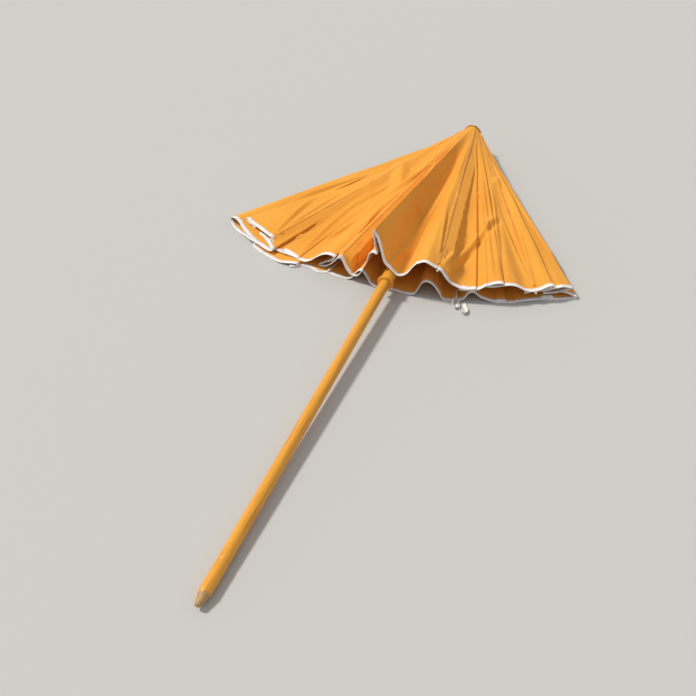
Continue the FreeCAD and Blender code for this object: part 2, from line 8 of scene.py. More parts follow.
# Looks of a wooden beach umbrella that lies half folded on flat ground.
# Row frame, metres: +Y runs from the spike to the crown, +Z is up, +X is right from the spike end.
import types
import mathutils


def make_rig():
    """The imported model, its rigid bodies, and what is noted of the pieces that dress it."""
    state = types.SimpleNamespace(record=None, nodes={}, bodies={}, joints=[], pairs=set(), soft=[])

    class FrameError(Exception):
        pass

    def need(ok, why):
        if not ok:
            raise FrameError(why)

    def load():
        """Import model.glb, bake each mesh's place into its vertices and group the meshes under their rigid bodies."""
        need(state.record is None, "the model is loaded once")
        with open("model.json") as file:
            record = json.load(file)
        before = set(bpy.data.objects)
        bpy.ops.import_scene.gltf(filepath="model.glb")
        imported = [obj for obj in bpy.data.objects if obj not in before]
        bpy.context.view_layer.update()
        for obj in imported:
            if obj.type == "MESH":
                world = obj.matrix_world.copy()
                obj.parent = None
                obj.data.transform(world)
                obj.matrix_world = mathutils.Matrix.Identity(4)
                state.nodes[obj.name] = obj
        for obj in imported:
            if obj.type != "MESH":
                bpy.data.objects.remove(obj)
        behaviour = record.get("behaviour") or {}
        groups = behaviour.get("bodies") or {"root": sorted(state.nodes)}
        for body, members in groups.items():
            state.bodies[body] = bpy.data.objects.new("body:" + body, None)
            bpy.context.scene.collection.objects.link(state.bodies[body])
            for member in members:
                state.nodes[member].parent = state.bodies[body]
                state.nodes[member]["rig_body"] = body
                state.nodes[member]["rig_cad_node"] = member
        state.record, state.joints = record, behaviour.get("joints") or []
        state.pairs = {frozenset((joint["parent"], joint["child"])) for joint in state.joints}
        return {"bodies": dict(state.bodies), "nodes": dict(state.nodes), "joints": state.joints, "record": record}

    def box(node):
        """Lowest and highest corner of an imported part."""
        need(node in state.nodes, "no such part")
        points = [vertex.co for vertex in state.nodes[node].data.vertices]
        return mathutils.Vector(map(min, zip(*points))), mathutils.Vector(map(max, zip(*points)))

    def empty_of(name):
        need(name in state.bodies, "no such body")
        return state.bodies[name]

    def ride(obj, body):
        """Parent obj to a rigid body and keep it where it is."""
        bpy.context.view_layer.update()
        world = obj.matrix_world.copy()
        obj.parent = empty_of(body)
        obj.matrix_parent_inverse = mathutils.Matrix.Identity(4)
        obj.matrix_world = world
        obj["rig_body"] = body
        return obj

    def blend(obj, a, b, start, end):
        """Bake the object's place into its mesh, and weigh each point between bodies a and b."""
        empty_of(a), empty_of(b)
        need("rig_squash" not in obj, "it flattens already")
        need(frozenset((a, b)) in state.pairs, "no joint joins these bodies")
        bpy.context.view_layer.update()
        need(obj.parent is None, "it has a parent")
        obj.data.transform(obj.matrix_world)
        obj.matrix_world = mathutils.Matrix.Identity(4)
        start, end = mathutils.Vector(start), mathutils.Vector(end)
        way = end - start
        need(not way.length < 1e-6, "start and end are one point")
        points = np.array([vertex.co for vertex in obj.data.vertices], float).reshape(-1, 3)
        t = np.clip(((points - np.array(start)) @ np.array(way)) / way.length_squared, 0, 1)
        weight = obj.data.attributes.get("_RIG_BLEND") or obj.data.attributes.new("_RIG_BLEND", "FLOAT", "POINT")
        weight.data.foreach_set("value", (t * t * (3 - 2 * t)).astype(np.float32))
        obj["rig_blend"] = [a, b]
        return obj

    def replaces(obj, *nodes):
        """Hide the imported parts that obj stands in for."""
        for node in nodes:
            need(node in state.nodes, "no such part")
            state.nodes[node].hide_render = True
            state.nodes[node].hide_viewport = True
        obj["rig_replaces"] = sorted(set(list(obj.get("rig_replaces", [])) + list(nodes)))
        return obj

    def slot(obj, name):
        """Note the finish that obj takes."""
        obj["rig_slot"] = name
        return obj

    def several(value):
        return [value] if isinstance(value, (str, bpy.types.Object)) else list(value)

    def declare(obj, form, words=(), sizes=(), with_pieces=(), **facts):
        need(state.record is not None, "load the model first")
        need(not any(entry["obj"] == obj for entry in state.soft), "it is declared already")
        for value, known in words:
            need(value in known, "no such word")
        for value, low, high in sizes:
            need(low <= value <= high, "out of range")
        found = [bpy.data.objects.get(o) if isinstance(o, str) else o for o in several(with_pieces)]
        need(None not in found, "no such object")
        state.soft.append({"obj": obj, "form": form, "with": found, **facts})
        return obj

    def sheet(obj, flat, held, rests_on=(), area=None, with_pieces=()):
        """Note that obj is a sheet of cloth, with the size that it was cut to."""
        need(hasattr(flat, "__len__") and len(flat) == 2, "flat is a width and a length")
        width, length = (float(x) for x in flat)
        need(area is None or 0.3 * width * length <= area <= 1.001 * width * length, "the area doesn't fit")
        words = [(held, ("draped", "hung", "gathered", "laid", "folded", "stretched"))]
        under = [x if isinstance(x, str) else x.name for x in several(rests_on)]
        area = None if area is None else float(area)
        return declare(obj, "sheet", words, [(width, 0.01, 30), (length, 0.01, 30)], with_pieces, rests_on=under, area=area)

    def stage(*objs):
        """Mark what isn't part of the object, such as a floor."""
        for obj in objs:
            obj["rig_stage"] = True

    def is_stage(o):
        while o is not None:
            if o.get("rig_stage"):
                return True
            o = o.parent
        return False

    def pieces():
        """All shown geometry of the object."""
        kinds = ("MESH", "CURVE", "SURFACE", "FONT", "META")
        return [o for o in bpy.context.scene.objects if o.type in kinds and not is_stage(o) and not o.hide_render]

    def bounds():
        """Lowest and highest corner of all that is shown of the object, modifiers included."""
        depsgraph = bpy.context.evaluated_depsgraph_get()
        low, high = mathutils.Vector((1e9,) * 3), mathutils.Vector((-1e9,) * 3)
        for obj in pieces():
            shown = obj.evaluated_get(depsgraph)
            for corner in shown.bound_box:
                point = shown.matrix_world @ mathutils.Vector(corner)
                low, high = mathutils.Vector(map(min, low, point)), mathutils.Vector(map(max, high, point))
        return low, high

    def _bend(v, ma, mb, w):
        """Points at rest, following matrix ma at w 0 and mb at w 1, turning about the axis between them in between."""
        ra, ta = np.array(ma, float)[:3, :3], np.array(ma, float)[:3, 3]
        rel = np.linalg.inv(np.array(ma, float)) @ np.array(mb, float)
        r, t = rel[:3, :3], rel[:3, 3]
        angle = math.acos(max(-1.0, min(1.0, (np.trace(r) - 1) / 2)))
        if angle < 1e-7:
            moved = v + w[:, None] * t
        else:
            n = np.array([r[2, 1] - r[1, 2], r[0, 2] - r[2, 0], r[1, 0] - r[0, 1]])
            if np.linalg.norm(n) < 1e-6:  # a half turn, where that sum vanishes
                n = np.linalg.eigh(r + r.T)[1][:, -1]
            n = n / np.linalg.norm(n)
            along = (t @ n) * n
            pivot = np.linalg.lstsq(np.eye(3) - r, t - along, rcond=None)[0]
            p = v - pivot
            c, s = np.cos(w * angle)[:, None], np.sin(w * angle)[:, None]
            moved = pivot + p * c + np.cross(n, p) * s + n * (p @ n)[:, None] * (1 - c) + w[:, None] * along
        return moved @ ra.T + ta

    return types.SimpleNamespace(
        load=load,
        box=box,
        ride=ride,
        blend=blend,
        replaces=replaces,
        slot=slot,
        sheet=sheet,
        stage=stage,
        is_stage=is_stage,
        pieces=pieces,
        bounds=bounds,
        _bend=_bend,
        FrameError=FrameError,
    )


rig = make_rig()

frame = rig.load()
cad_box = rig.bounds()
JOINTS = {j["name"]: j for j in frame["joints"]}
RIBS = 8
MM = 0.001


def vec(values):
    return np.array(values, float)


def unit(v):
    return v / np.linalg.norm(v)


def centre_of(node):
    low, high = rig.box(node)
    return vec((low + high) / 2)


def smooth(low, high, x):
    t = np.clip((x - low) / (high - low), 0, 1)
    return t * t * (3 - 2 * t)


# ---------------------------------------------------------------- frame of the umbrella

CROWN = centre_of("crown_ring_wire")
SLOPE = math.radians(1.58)
POLE_UP = vec([0, math.cos(SLOPE), math.sin(SLOPE)])
POLE_OUT = vec([0, -math.sin(SLOPE), math.cos(SLOPE)])
POLE_SIDE = vec([1, 0, 0])
RIB_PIVOT = {n: vec(JOINTS[f"rib_{n}_hinge"]["pos_m"]) for n in range(1, RIBS + 1)}
RIB_WAY = {n: unit(vec(JOINTS[f"slider_{n}_slide"]["axis"])) for n in range(1, RIBS + 1)}
RIB_LENGTH = 0.812
# Fold in the middle of each gore: swing from the pole's line, height of its end, and length.
FOLD_LIES = [
    (-33.0, 20.0), (-18.8, 50.0), (-3.5, 165.0), (17.7, 65.0),
    (30.2, 22.0), (22.9, 3.0), (0.0, 3.0), (-26.0, 3.0),
]
FOLD_LENGTH = 0.755
HALF_GORE = math.radians(21.8)


def next_rib(n):
    return n % RIBS + 1


def azimuth(n):
    return 202.5 - 45.0 * (n - 1)


def crown_point(turn, radius, along):
    """Point on a ring round the pole: turn in degrees from +X towards up, along up the pole."""
    a = math.radians(turn)
    side = POLE_SIDE * math.cos(a) + POLE_OUT * math.sin(a)
    return CROWN + side * radius + POLE_UP * along


def fold_line(n):
    start = (RIB_PIVOT[n] + RIB_PIVOT[next_rib(n)]) / 2
    swing, height = FOLD_LIES[n - 1]
    rise = (height * MM - start[2]) / FOLD_LENGTH
    flat = math.sqrt(1 - rise * rise)
    turn = math.radians(swing)
    return start, vec([math.sin(turn) * flat, -math.cos(turn) * flat, rise])


def open_bodies():
    """Each body's place, as a 4x4, when the umbrella is fully open."""
    found = {"root": np.eye(4)}
    waiting = list(frame["joints"])
    while waiting:
        for j in list(waiting):
            if j["parent"] not in found:
                continue
            axis = Vector(j["axis"]).normalized()
            if j["type"] == "hinge":
                spot = Matrix.Translation(Vector(j["pos_m"]))
                turn = Matrix.Rotation(math.radians(j["range_deg"][1]), 4, axis)
                move = spot @ turn @ spot.inverted()
            else:
                move = Matrix.Translation(axis * j["range_m"][1])
            found[j["child"]] = found[j["parent"]] @ np.array(move, float)
            waiting.remove(j)
    return found


OPEN = open_bodies()


# ---------------------------------------------------------------- mesh helpers

def make_object(name, verts, faces, uv=None, shade=True):
    mesh = bpy.data.meshes.new(name)
    mesh.from_pydata([tuple(v) for v in verts], [], [tuple(f) for f in faces])
    if uv is not None:
        layer = mesh.uv_layers.new(name="flat")
        loops = np.zeros(len(mesh.loops), np.int32)
        mesh.loops.foreach_get("vertex_index", loops)
        layer.data.foreach_set("uv", np.asarray(uv, np.float32)[loops].ravel())
    if shade:
        mesh.polygons.foreach_set("use_smooth", [True] * len(mesh.polygons))
    mesh.update()
    obj = bpy.data.objects.new(name, mesh)
    bpy.context.scene.collection.objects.link(obj)
    return obj


def grid_faces(rows, columns, closed=False):
    """Faces of a grid of points stored row by row."""
    faces = []
    wide = columns if closed else columns - 1
    for r in range(rows - 1):
        for c in range(wide):
            d = (c + 1) % columns
            faces.append((r * columns + c, r * columns + d, (r + 1) * columns + d, (r + 1) * columns + c))
    return faces


def thicken(obj, thickness, offset=0.0):
    solid = obj.modifiers.new("thickness", "SOLIDIFY")
    solid.thickness = thickness
    solid.offset = offset
    solid.use_rim = True
    return obj


# ---------------------------------------------------------------- canopy: the hem's line

# The hem of each gore from its rib to the next, as (angle from the pole's line in degrees, height
# in mm, distance from the crown in mm). FOLD marks the gore's middle. Points that run backwards
# are pleats: the cloth is much wider than the fan that it lies in.
FOLD = "fold"
HEM = {
    1: [(-39.3, 21, 848), (-38.3, 26, 844), (-37.0, 24, 842), (-34.4, 15, 846), (-31.0, 11, 850),
        (-28.0, 9.5, 850), (-25.9, 9.5, 848), (-25.4, 11.5, 845), (-26.4, 13.5, 838),
        (-30.0, 16, 822), FOLD, (-35.9, 18, 820), (-36.4, 19, 819), (-35.4, 20, 818),
        (-33.4, 20.4, 817), (-33.0, 21.3, 817), (-34.0, 22, 817), (-36.2, 22.6, 817),
        (-36.9, 23.8, 817), (-35.9, 25, 817), (-33.0, 24.6, 816), (-30.0, 24.4, 816)],
    2: [(-27.4, 14, 822), (-26.0, 7, 830), (-23.6, 5.5, 826), (-20.6, 5, 820), (-20.1, 6.5, 820),
        (-21.0, 8, 820), (-23.6, 8.5, 822), (-24.2, 10, 826), (-23.4, 11, 828), (-21.6, 11, 824),
        FOLD, (-18.0, 10, 822), (-16.9, 16, 814), (-15.5, 35, 812), (-14.1, 53, 812),
        (-12.8, 63, 812), (-11.7, 64, 812), (-11.1, 58, 811), (-11.6, 46, 810), (-13.0, 31, 808),
        (-15.0, 12, 806), (-15.6, 7, 806), (-14.6, 7.5, 806), (-12.6, 24, 808), (-11.2, 46, 810)],
    3: [(-9.6, 51, 812), (-8.8, 32, 812), (-7.7, 19, 812), (-6.6, 22, 812), (-5.6, 46, 812),
        (-4.7, 80, 812), (-4.1, 101, 812), (-3.3, 108, 811), (-2.6, 102, 810), (-2.4, 104, 808),
        (-2.9, 128, 806), FOLD, (-2.7, 149, 806), (-1.8, 110, 810), (-1.0, 82, 812),
        (0.3, 66, 812), (1.5, 54, 812), (2.6, 57, 812), (3.5, 69, 812), (4.4, 87, 812),
        (5.4, 102, 812), (6.7, 111, 812), (7.9, 105, 812)],
    4: [(9.9, 80, 812), (10.7, 67, 812), (11.7, 54, 812), (13.1, 44, 812), (14.4, 38, 812),
        (15.4, 39, 812), (16.4, 42, 812), (16.6, 40.5, 811), (15.4, 36, 809), (13.6, 36.5, 808),
        (13.2, 35, 808), (14.0, 33, 808), (15.8, 36, 810), (17.0, 42, 812), FOLD,
        (20.2, 57, 812), (21.2, 57, 812),
        (21.4, 54.5, 811), (20.4, 53, 810), (18.4, 49, 808), (18.0, 46.5, 808), (18.8, 46, 809),
        (21.2, 52, 811), (23.6, 52, 812), (25.6, 38, 812)],
    5: [(28.6, 36, 812), (29.8, 45, 812), (30.9, 44.5, 811), (31.1, 41, 810), (29.6, 33, 806),
        (26.4, 24, 802), (25.4, 21.5, 802), (26.2, 20, 802), (29.4, 28, 806), FOLD,
        (33.0, 36, 810), (34.6, 30, 812), (34.9, 27, 812), (33.6, 23, 809), (30.4, 17, 804),
        (29.2, 14.5, 803), (30.0, 13, 803), (33.4, 15, 807)],
    6: [(34.9, 3.0, 824), (33.6, 0.8, 822), (30.6, 0.8, 816), (28.9, 2.2, 812), (28.9, 3.4, 812),
        (30.3, 3.8, 812), (31.2, 3.0, 812), (30.6, 1.8, 812), (28.2, 0.4, 815), FOLD,
        (21.0, 0.6, 816), (20.2, 2.0, 816), (20.6, 3.2, 816), (21.9, 3.6, 815), (22.3, 2.8, 815),
        (21.4, 1.6, 815), (19.4, 2.0, 815), (17.6, 12, 812), (16.0, 26, 810), (15.3, 24, 812),
        (14.6, 8, 816), (13.9, 1.0, 816)],
    7: [(11.8, 0.6, 816), (10.6, 5, 818), (9.8, 22, 815), (8.7, 40, 812), (7.3, 50, 810),
        (6.3, 44, 810), (5.6, 22, 812), (4.9, 5, 816), (3.6, 0.6, 816), FOLD, (-2.6, 0.6, 814),
        (-4.0, 6, 812), (-4.9, 24, 810), (-5.8, 38, 808), (-6.9, 28, 808), (-7.8, 8, 810),
        (-9.0, 0.8, 814), (-11.0, 0.2, 816)],
    8: [(-14.6, 0.6, 828), (-16.6, 0.8, 824), (-18.2, 0.8, 828), (-19.2, 0.8, 850),
        (-20.0, 1.8, 856), (-19.4, 3.2, 846), (-18.8, 4.0, 842), (-19.4, 4.4, 846),
        (-20.9, 2.6, 856), (-22.4, 0.8, 862), (-24.4, 0.8, 862), FOLD, (-29.4, 0.8, 862),
        (-30.4, 2.2, 856), (-29.8, 3.8, 850), (-28.8, 4.4, 846), (-29.2, 5.0, 848),
        (-31.2, 3.6, 854), (-33.4, 1.4, 852), (-35.8, 0.8, 856), (-38.0, 2.0, 856)],
}
# Where the cloth passes each rib's end: offset to the right, offset up, and distance along the rib.
RIB_HEM = {
    1: (-4.5, 6.0, 836.0), 2: (0.0, 6.0, 806.0), 3: (0.0, 5.5, 808.0), 4: (0.0, 5.5, 808.0),
    5: (0.0, 5.5, 808.0), 6: (5.5, 4.5, 814.0), 7: (0.0, -4.3, 812.0), 8: (0.0, -4.3, 812.0),
}
# Height of the cloth above each fold's CAD line at the hem, and distance along the fold.
FOLD_HEM = {
    1: (0.0, 808.0), 2: (-38.0, 820.0), 3: (0.0, 806.0), 4: (-11.0, 808.0),
    5: (19.0, 806.0), 6: (0.0, 812.0), 7: (0.3, 812.0), 8: (0.0, 858.0),
}
COLUMNS = 60
ROWS = 116
CLOTH = 0.0006
RING = 0.0268
RING_ALONG = 0.003


def hem_point(angle, height, distance):
    """A point at an angle from the pole's line, at a height and a slant distance from the crown."""
    drop = CROWN[2] - height * MM
    level = math.sqrt((distance * MM) ** 2 - drop**2)
    a = math.radians(angle)
    return CROWN + vec([math.sin(a) * level, -math.cos(a) * level, -drop])


def rib_hem(n):
    right, up, along = RIB_HEM[n]
    return RIB_PIVOT[n] + RIB_WAY[n] * along * MM + vec([right * MM, 0, up * MM])


def fold_hem(n):
    start, way = fold_line(n)
    up, along = FOLD_HEM[n]
    return start + way * along * MM + vec([0, 0, up * MM])


def curve_through(points, count):
    """Points evenly spaced along a smooth curve through the given points."""
    p = np.array(points)
    p = np.vstack([2 * p[0] - p[1], p, 2 * p[-1] - p[-2]])
    dense = []
    for i in range(1, len(p) - 2):
        knots = [0.0]
        for k in range(3):
            knots.append(knots[-1] + max(np.linalg.norm(p[i + k] - p[i + k - 1]), 1e-6) ** 0.5)
        t = np.linspace(knots[1], knots[2], 24, endpoint=False)[:, None]
        a = [
            (knots[k + 1] - t) / (knots[k + 1] - knots[k]) * p[i + k - 1]
            + (t - knots[k]) / (knots[k + 1] - knots[k]) * p[i + k]
            for k in range(3)
        ]
        b = [
            (knots[k + 2] - t) / (knots[k + 2] - knots[k]) * a[k]
            + (t - knots[k]) / (knots[k + 2] - knots[k]) * a[k + 1]
            for k in range(2)
        ]
        gap = knots[2] - knots[1]
        dense.append((knots[2] - t) / gap * b[0] + (t - knots[1]) / gap * b[1])
    dense = np.vstack(dense + [p[-2:-1]])
    run = np.concatenate([[0], np.cumsum(np.linalg.norm(np.diff(dense, axis=0), axis=1))])
    want = np.linspace(0, run[-1], count)
    return np.stack([np.interp(want, run, dense[:, k]) for k in range(3)], 1)


def half_hem(n, half):
    """The hem from rib to fold, as points, for one half of a gore."""
    split = HEM[n].index(FOLD)
    if half == "a":
        inner = [hem_point(*h) for h in HEM[n][:split]]
        return curve_through([rib_hem(n)] + inner + [fold_hem(n)], COLUMNS + 1)
    inner = [hem_point(*h) for h in reversed(HEM[n][split + 1:])]
    return curve_through([rib_hem(next_rib(n))] + inner + [fold_hem(n)], COLUMNS + 1)


def pole_radius(along):
    """Radius of the pole or the runner on it, at distances down the pole, with room for the cloth."""
    head = smooth(0.672, 0.690, along) * (1 - smooth(0.712, 0.732, along))
    tail = smooth(0.690, 0.705, along) * (1 - smooth(0.850, 0.866, along))
    return 0.0152 + 0.0050 * tail + 0.0110 * head * 1.05


def clear_of_pole(points, lift):
    """Points pushed out of the pole and the runner, along the line from the pole's axis."""
    rel = points - CROWN
    along = -(rel @ POLE_UP)
    radial = rel + along[:, None] * POLE_UP
    far = np.linalg.norm(radial, axis=1)
    need = pole_radius(along) + lift
    push = np.clip(need - far, 0, None) * smooth(0.05, 0.12, along)
    return points + radial / np.maximum(far, 1e-5)[:, None] * push[:, None]


UPPER = ["1a", "1b", "2a", "2b", "3a", "3b", "4a", "4b", "5a", "5b"]
WIRE_RADIUS = 0.0025
TENT_SLOPE = 0.42
TENT_GAP = 0.0016
TENT_REACH = 0.03
TENT_BATCH = 1500
BELOW_ALL = -1.0
WIRE_STEP = 0.003


def frame_line(start, end, radius):
    """Points along the top of a round wire, about every 3 mm from start to end."""
    count = max(int(np.linalg.norm(end - start) / WIRE_STEP), 2)
    spots = start + (end - start) * np.linspace(0, 1, count)[:, None]
    spots[:, 2] += radius
    return spots


def frame_tops():
    """Tops of the ribs, sliders and stretchers that the upper cloth lies on."""
    rows = []
    for n in range(1, 6):
        slider = centre_of(f"rib_slider_{n}")
        hinge = vec(JOINTS[f"stretcher_{n}_hinge"]["pos_m"])
        rows.append(frame_line(RIB_PIVOT[n], RIB_PIVOT[n] + RIB_WAY[n] * 0.79, WIRE_RADIUS))
        rows.append(frame_line(RIB_PIVOT[n] + RIB_WAY[n] * 0.437, RIB_PIVOT[n] + RIB_WAY[n] * 0.443, 0.0044))
        above = 0.0068 if n in (2, 5) else 0.0015
        joint = slider + vec([0, 0, above])
        rows.append(frame_line(joint - RIB_WAY[n] * 0.009, joint + RIB_WAY[n] * 0.009, 0.0035))
        rows.append(frame_line(joint, hinge, WIRE_RADIUS + 0.0012))
    return np.vstack(rows)


FRAME_TOPS = frame_tops()


def tented(points, lift):
    """Points raised, where they would cut the frame, to hang over it like cloth on a ridge."""
    raised = points.copy()
    for first in range(0, len(points), TENT_BATCH):
        part = points[first:first + TENT_BATCH]
        gap = np.hypot(part[:, None, 0] - FRAME_TOPS[:, 0], part[:, None, 1] - FRAME_TOPS[:, 1])
        over = FRAME_TOPS[:, 2] + lift - TENT_SLOPE * np.clip(gap - WIRE_RADIUS, 0, None)
        over = np.where(gap < TENT_REACH, over, BELOW_ALL)
        raised[first:first + TENT_BATCH, 2] = np.maximum(part[:, 2], over.max(axis=1))
    return raised


def crease(s, t, start, end, width, height):
    """A straight crease between two (across, along) places of one half gore."""
    a, b = vec(start), vec(end)
    d = b - a
    scale = vec([0.30, 0.80])
    length = np.linalg.norm(d * scale)
    way = d * scale / length
    px, py = (s - a[0]) * scale[0], (t - a[1]) * scale[1]
    along = (px * way[0] + py * way[1]) / length
    off = px * way[1] - py * way[0]
    fade = smooth(-0.05, 0.12, along) * (1 - smooth(0.6, 1.05, along))
    spread = width * (0.35 + 0.65 * np.clip(along, 0, 1))
    hill = np.exp(-((off / spread) ** 2))
    dip = np.exp(-(((off - 1.6 * spread) / spread) ** 2))
    return height * fade * (hill - 0.6 * dip)


# Creases drawn out of the rib ends, and across the cloth: half gore, start, end, width, height.
CREASES = [
    ("1b", (0.0, 1.0), (0.35, 0.72), 0.010, 0.0050), ("1b", (0.0, 1.0), (0.16, 0.62), 0.007, 0.0040),
    ("1b", (0.62, 1.0), (0.30, 0.42), 0.020, 0.0060),
    ("2a", (0.0, 1.0), (0.20, 0.70), 0.008, 0.0045), ("2a", (0.0, 1.0), (0.42, 0.78), 0.010, 0.0045),
    ("2a", (0.95, 0.98), (0.60, 0.35), 0.022, 0.0060),
    ("2b", (0.98, 0.86), (0.55, 0.30), 0.020, 0.0060), ("2b", (0.50, 0.98), (0.66, 0.60), 0.012, 0.0045),
    ("3a", (0.0, 1.0), (0.25, 0.74), 0.008, 0.0040), ("3a", (0.25, 1.0), (0.55, 0.45), 0.012, 0.0040),
    ("3b", (0.60, 1.0), (0.42, 0.40), 0.016, 0.0040), ("3b", (0.0, 1.0), (0.12, 0.60), 0.008, 0.0045),
    ("3b", (0.22, 1.0), (0.30, 0.62), 0.010, 0.0035),
    ("4a", (0.0, 1.0), (0.14, 0.66), 0.008, 0.0040), 
    ("4b", (0.0, 1.0), (0.20, 0.55), 0.010, 0.0050), ("4b", (0.42, 0.99), (0.30, 0.35), 0.016, 0.0045),
    ("4b", (0.93, 0.97), (0.97, 0.25), 0.014, 0.0035),
    ("5a", (0.0, 1.0), (0.10, 0.55), 0.010, 0.0050), ("5b", (0.75, 0.9), (0.86, 0.35), 0.012, 0.0045),
]


# Soft waves of the cloth: waves across, waves along, height in mm.
RIPPLES = [(1.7, 1.1, 2.6), (3.3, 2.3, 1.5), (6.1, 4.4, 0.7), (11.0, 7.0, 0.3)]


def ripples(n, half, s, t):
    """Soft unevenness of slack cloth, in metres, nought at the crown and at both side edges."""
    seed = n * 2 + (half == "b")
    waves = 0
    for k, (across, along, height) in enumerate(RIPPLES):
        phase = 1.7 * seed + 2.1 * k
        drift = 1.3 * np.sin(along * math.pi * t + 0.7 * phase)
        waves = waves + height * MM * np.sin(across * math.pi * s + phase + drift)
    waves = waves * smooth(0.08, 0.5, t)
    for name, start, end, width, height in CREASES:
        if name == f"{n}{half}":
            waves = waves + crease(s, t, start, end, width, height)
    pucker = 0.9 * MM * np.sin(t * 260 + seed) * np.sin(t * 97 + 2 * seed) * np.exp(-s * 9)
    edge = smooth(0, 0.04, s) * (1 - smooth(0.98, 1.0, s))
    return waves * edge + pucker * smooth(0, 0.02, s) * smooth(0.1, 0.3, t)


RIDGE_START = (9.4, 88.0, 805.0)
RIDGE_END = (25.5, 40.0, 470.0)
RIDGE_HEIGHT = 0.010
RIDGE_WIDTH = 0.008


def pulled_ridge(points):
    """Lift of the sharp fold that is pulled slantwise out of the fourth rib's end."""
    start, end = hem_point(*RIDGE_START)[:2], hem_point(*RIDGE_END)[:2]
    length = np.linalg.norm(end - start)
    way = (end - start) / length
    rel = points[:, :2] - start
    along = rel @ way / length
    off = rel[:, 0] * way[1] - rel[:, 1] * way[0]
    fade = smooth(0.0, 0.15, along) * (1 - smooth(0.75, 1.0, along))
    hill = np.exp(-((off / RIDGE_WIDTH) ** 2))
    dip = np.exp(-(((off - 1.7 * RIDGE_WIDTH) / RIDGE_WIDTH) ** 2))
    return RIDGE_HEIGHT * fade * (hill - 0.5 * dip)


def cloth_points(n, half):
    """Grid of the half gore's points, rows from the crown to the hem, columns from rib to fold."""
    hem = half_hem(n, half)
    s = np.linspace(0, 1, COLUMNS + 1)
    t = np.linspace(0, 1, ROWS + 1)
    rib = n if half == "a" else next_rib(n)
    turn = azimuth(n) + (0 if half == "a" else -45.0)
    middle = azimuth(n) - 22.5
    ring = np.array([crown_point(turn + (middle - turn) * x, RING, RING_ALONG) for x in s])
    plain = hem[0] + (hem[-1] - hem[0]) * s[:, None]
    grow = smooth(0.0, 0.34, t)[:, None, None]
    far = plain[None] * (1 - grow) + hem[None] * grow
    grid = ring[None] * (1 - t[:, None, None]) + far * t[:, None, None]
    across = np.gradient(grid, axis=1)
    down = np.gradient(grid, axis=0)
    normal = np.cross(across, down)
    normal /= np.maximum(np.linalg.norm(normal, axis=2), 1e-9)[:, :, None]
    if half == "a":
        normal = -normal
    grid = grid + normal * ripples(n, half, s[None, :], t[:, None])[:, :, None]
    flat = clear_of_pole(grid.reshape(-1, 3), 0.0012)
    if f"{n}{half}" in UPPER:
        high = tented(flat, TENT_GAP)
        on_edge = (rib in (1, 6)) * np.tile(1 - smooth(0, 0.03, s), ROWS + 1)
        near_hem = np.repeat(smooth(0.97, 1.0, t), COLUMNS + 1)
        near_crown = np.repeat(smooth(0.0, 0.04, t), COLUMNS + 1)
        share = (1 - on_edge) * (1 - near_hem) * near_crown
        flat = flat + (high - flat) * share[:, None]
    if n == 4:
        flat[:, 2] += pulled_ridge(flat)
    flat[:, 2] = np.maximum(flat[:, 2], -0.0003)
    return flat.reshape(grid.shape), s, t, rib


def bend(points, a, b, weights):
    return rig._bend(points, OPEN[a], OPEN[b], weights)


def open_weights(grid, s, n, half, rib):
    """For each column, how far it follows the fold, so that the open cloth spreads evenly."""
    a, b = f"rib_{rib}", f"fold_{n}{half}"
    way = fold_line(n)[1]
    rib_open = unit(OPEN[a][:3, :3] @ RIB_WAY[rib])
    fold_open = unit(OPEN[b][:3, :3] @ way)
    origin = OPEN[a][:3, :3] @ RIB_PIVOT[rib] + OPEN[a][:3, 3]
    tries = np.linspace(0, 1, 201)
    weights = []
    for k, x in enumerate(s):
        wish = unit(rib_open * math.sin(HALF_GORE * (1 - x)) + fold_open * math.sin(HALF_GORE * x))
        moved = bend(np.repeat(grid[-1, k][None], len(tries), 0), a, b, tries) - origin
        moved /= np.linalg.norm(moved, axis=1)[:, None]
        weights.append(tries[int(np.argmax(moved @ wish))])
    weights = np.array(weights)
    weights[0], weights[-1] = 0.0, 1.0
    soft = np.convolve(np.pad(weights, 3, mode="edge"), np.ones(7) / 7, "valid")
    soft[0], soft[-1] = 0.0, 1.0
    return soft


BLEND_AT = 0.8


def follow(obj, n, half, rib, weights):
    """obj bends between its rib and its fold, with the given weight at each of its points."""
    start, way = fold_line(n)
    on_rib = tuple(RIB_PIVOT[rib] + RIB_WAY[rib] * BLEND_AT)
    on_fold = tuple(start + way * BLEND_AT)
    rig.blend(obj, f"rib_{rib}", f"fold_{n}{half}", start=on_rib, end=on_fold)
    obj.data.attributes["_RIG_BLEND"].data.foreach_set("value", np.asarray(weights, np.float32))


# ---------------------------------------------------------------- materials

def material(name, colour, rough, metal=0.0):
    m = bpy.data.materials.new(name)
    m.use_nodes = True
    shader = m.node_tree.nodes["Principled BSDF"]
    shader.inputs["Base Color"].default_value = (*colour, 1)
    shader.inputs["Roughness"].default_value = rough
    shader.inputs["Metallic"].default_value = metal
    return m, m.node_tree, shader


def node(tree, kind, **inputs):
    made = tree.nodes.new(kind)
    for key, value in inputs.items():
        if key in made.inputs:
            made.inputs[key].default_value = value
        else:
            setattr(made, key, value)
    return made


def math_node(tree, operation, a, b=None):
    made = tree.nodes.new("ShaderNodeMath")
    made.operation = operation
    for socket, value in zip(made.inputs, (a, b)):
        if value is None:
            continue
        if isinstance(value, (int, float)):
            socket.default_value = value
        else:
            tree.links.new(value, socket)
    return made.outputs[0]


def scaled(tree, source, scale):
    mapping = node(tree, "ShaderNodeMapping")
    mapping.inputs["Scale"].default_value = scale
    tree.links.new(source, mapping.inputs["Vector"])
    return mapping.outputs[0]


